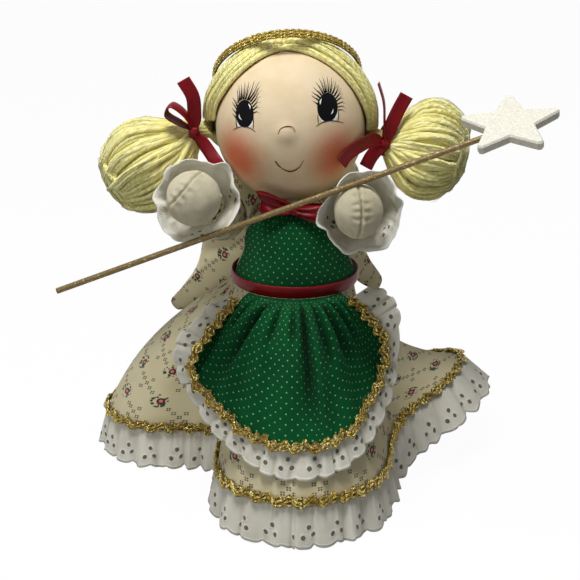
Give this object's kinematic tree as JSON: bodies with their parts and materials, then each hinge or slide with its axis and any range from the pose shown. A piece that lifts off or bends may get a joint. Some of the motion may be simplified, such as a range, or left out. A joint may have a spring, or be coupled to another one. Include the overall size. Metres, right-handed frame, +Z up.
{
  "type": "angel tree topper",
  "caption": "Cloth angel doll on a hollow cone, with yarn pigtails, padded wings, an apron over a folded skirt and a star on a wand held in both hands.",
  "frame": {"origin": "on the axis of the inner cone, in the plane of its base rim", "axes": "+Z up along the cone, -Y the way the face looks, +X to the right of the picture"},
  "size_m": [0.2627, 0.2306, 0.2753],
  "materials": {
    "cardboard": "matt board",
    "stuffing_cloth": "plain woven",
    "neck_wood": "bare",
    "printed_cotton": "small floral print",
    "green_cotton": "pin-dot print",
    "red_satin": "satin",
    "gold_braid": "metallic thread",
    "eyelet_cotton": "eyelet embroidery",
    "painted_cloth": "painted face",
    "yellow_yarn": "yarn",
    "muslin": "plain woven",
    "steel_wire": "drawn wire",
    "gold_wood": "gold paint with glitter",
    "white_wood": "white paint with glitter",
    "padded_cotton": "small floral print, padded"
  },
  "bodies": {
    "dress": {"tree_cone": "cardboard", "torso": "stuffing_cloth", "neck_dowel": "neck_wood", "dress_bodice": "printed_cotton", "apron_bib": "green_cotton", "waist_ribbon": "red_satin", "dress_skirt": "printed_cotton", "skirt_braid": "gold_braid", "skirt_ruffle": "eyelet_cotton", "apron_panel": "green_cotton", "apron_braid": "gold_braid", "apron_ruffle": "eyelet_cotton", "neck_bow": "red_satin"},
    "head": {"head_ball": "painted_cloth", "yarn_wig": "yellow_yarn", "halo_band": "gold_braid", "hair_ribbon_left": "red_satin", "hair_ribbon_right": "red_satin"},
    "left_pigtail": {"pigtail_left": "yellow_yarn"},
    "right_pigtail": {"pigtail_right": "yellow_yarn"},
    "arms": {"arm_wire": "steel_wire", "arm_left": "muslin", "arm_right": "muslin", "sleeve_left": "printed_cotton", "sleeve_right": "printed_cotton", "cuff_left": "eyelet_cotton", "cuff_right": "eyelet_cotton"},
    "wand": {"wand_dowel": "gold_wood", "wand_star": "white_wood"},
    "left_wing": {"wing_left": "padded_cotton"},
    "right_wing": {"wing_right": "padded_cotton"}
  },
  "joints": [
    {"name": "head_turn", "type": "hinge", "parent": "dress", "child": "head", "pos_m": [0, 0, 0.177], "axis": [-0.068, 0, 0.9977], "range_deg": [-6, 6]},
    {"name": "pigtail_left_swing", "type": "hinge", "parent": "head", "child": "left_pigtail", "pos_m": [-0.05332, 0, 0.21688], "axis": [0, 1, 0], "range_deg": [-6, 6], "stiffness_Nm_per_rad": 1},
    {"name": "pigtail_right_swing", "type": "hinge", "parent": "head", "child": "right_pigtail", "pos_m": [0.04701, 0, 0.21092], "axis": [0, 1, 0], "range_deg": [-6, 6], "stiffness_Nm_per_rad": 1},
    {"name": "arms_swing", "type": "hinge", "parent": "dress", "child": "arms", "pos_m": [0, 0.007, 0.163], "axis": [1, 0, 0], "range_deg": [-3, 16]},
    {"name": "wand_slide", "type": "slide", "parent": "arms", "child": "wand", "axis": [0.9373, 0, 0.3486], "range_m": [-0.01, 0.02]},
    {"name": "wing_left_flap", "type": "hinge", "parent": "dress", "child": "left_wing", "pos_m": [-0.006, 0.03935, 0.15], "axis": [0, -0.1908, 0.9816], "range_deg": [-12, 4], "stiffness_Nm_per_rad": 1},
    {"name": "wing_right_flap", "type": "hinge", "parent": "dress", "child": "right_wing", "pos_m": [0.006, 0.03935, 0.15], "axis": [0, -0.1908, 0.9816], "range_deg": [-4, 12], "stiffness_Nm_per_rad": 1}
  ]
}
